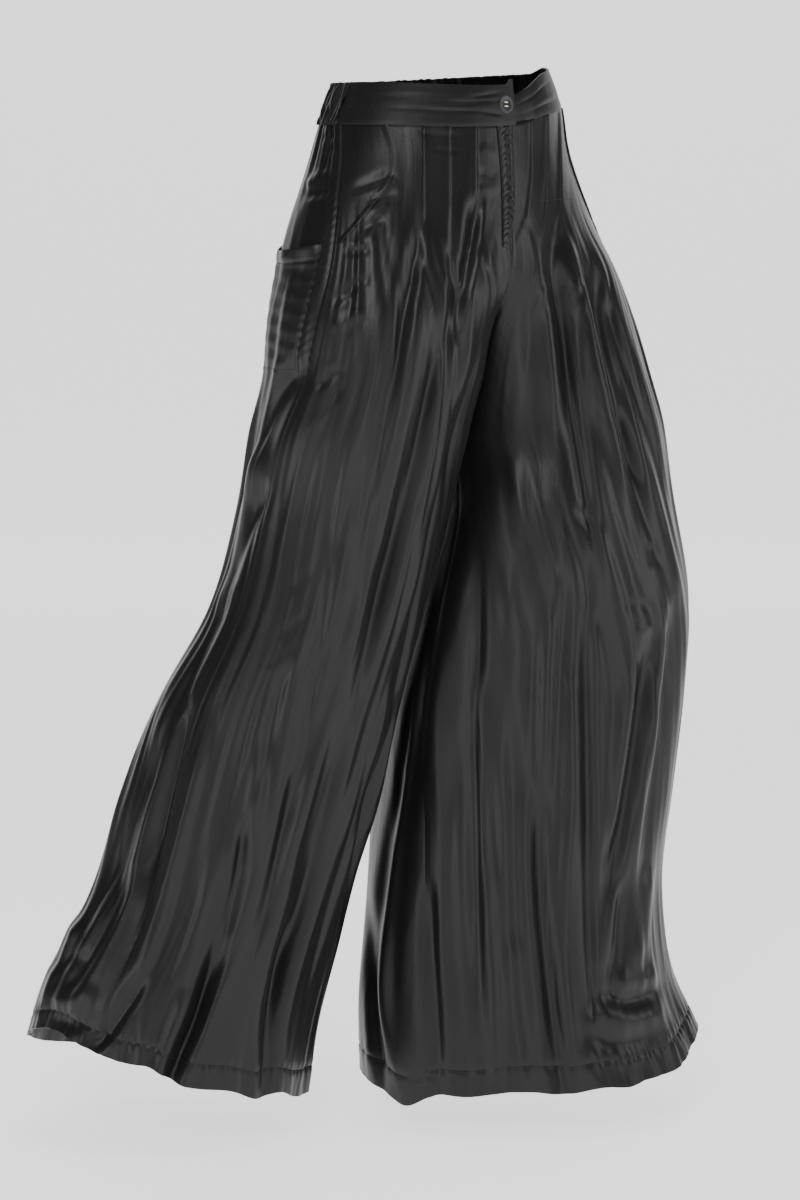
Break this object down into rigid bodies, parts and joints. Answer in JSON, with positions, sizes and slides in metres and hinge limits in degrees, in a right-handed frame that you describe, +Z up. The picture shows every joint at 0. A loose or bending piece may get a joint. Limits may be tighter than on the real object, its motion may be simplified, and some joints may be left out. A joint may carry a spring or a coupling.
{
  "type": "wide-leg pants",
  "caption": "Wide-leg pleated pants in a stride, with a buttoned waistband, gathered back, slanted pockets and turned-up hems, open at the waist and hems.",
  "frame": {"origin": "middle of the waist, half way up the waistband", "axes": "+Z up, the front faces -Y, the garment's left is +X"},
  "size_m": [0.6526, 0.4777, 1.0792],
  "materials": {
    "cloth": "black satin-weave cloth with a soft sheen",
    "button": "polished dark resin",
    "thread": "black sewing thread",
    "button_thread": "pale gold sewing thread"
  },
  "bodies": {
    "root": {"front_right": "cloth", "front_left": "cloth", "back_right": "cloth", "back_left": "cloth", "hem_right": "cloth", "hem_left": "cloth", "pocket_welt_right": "cloth", "pocket_welt_left": "cloth", "back_pocket_right": "cloth", "back_pocket_left": "cloth", "band_back": "cloth", "band_right": "cloth", "band_left": "cloth", "fly_placket": "cloth", "button": "button"}
  },
  "joints": []
}
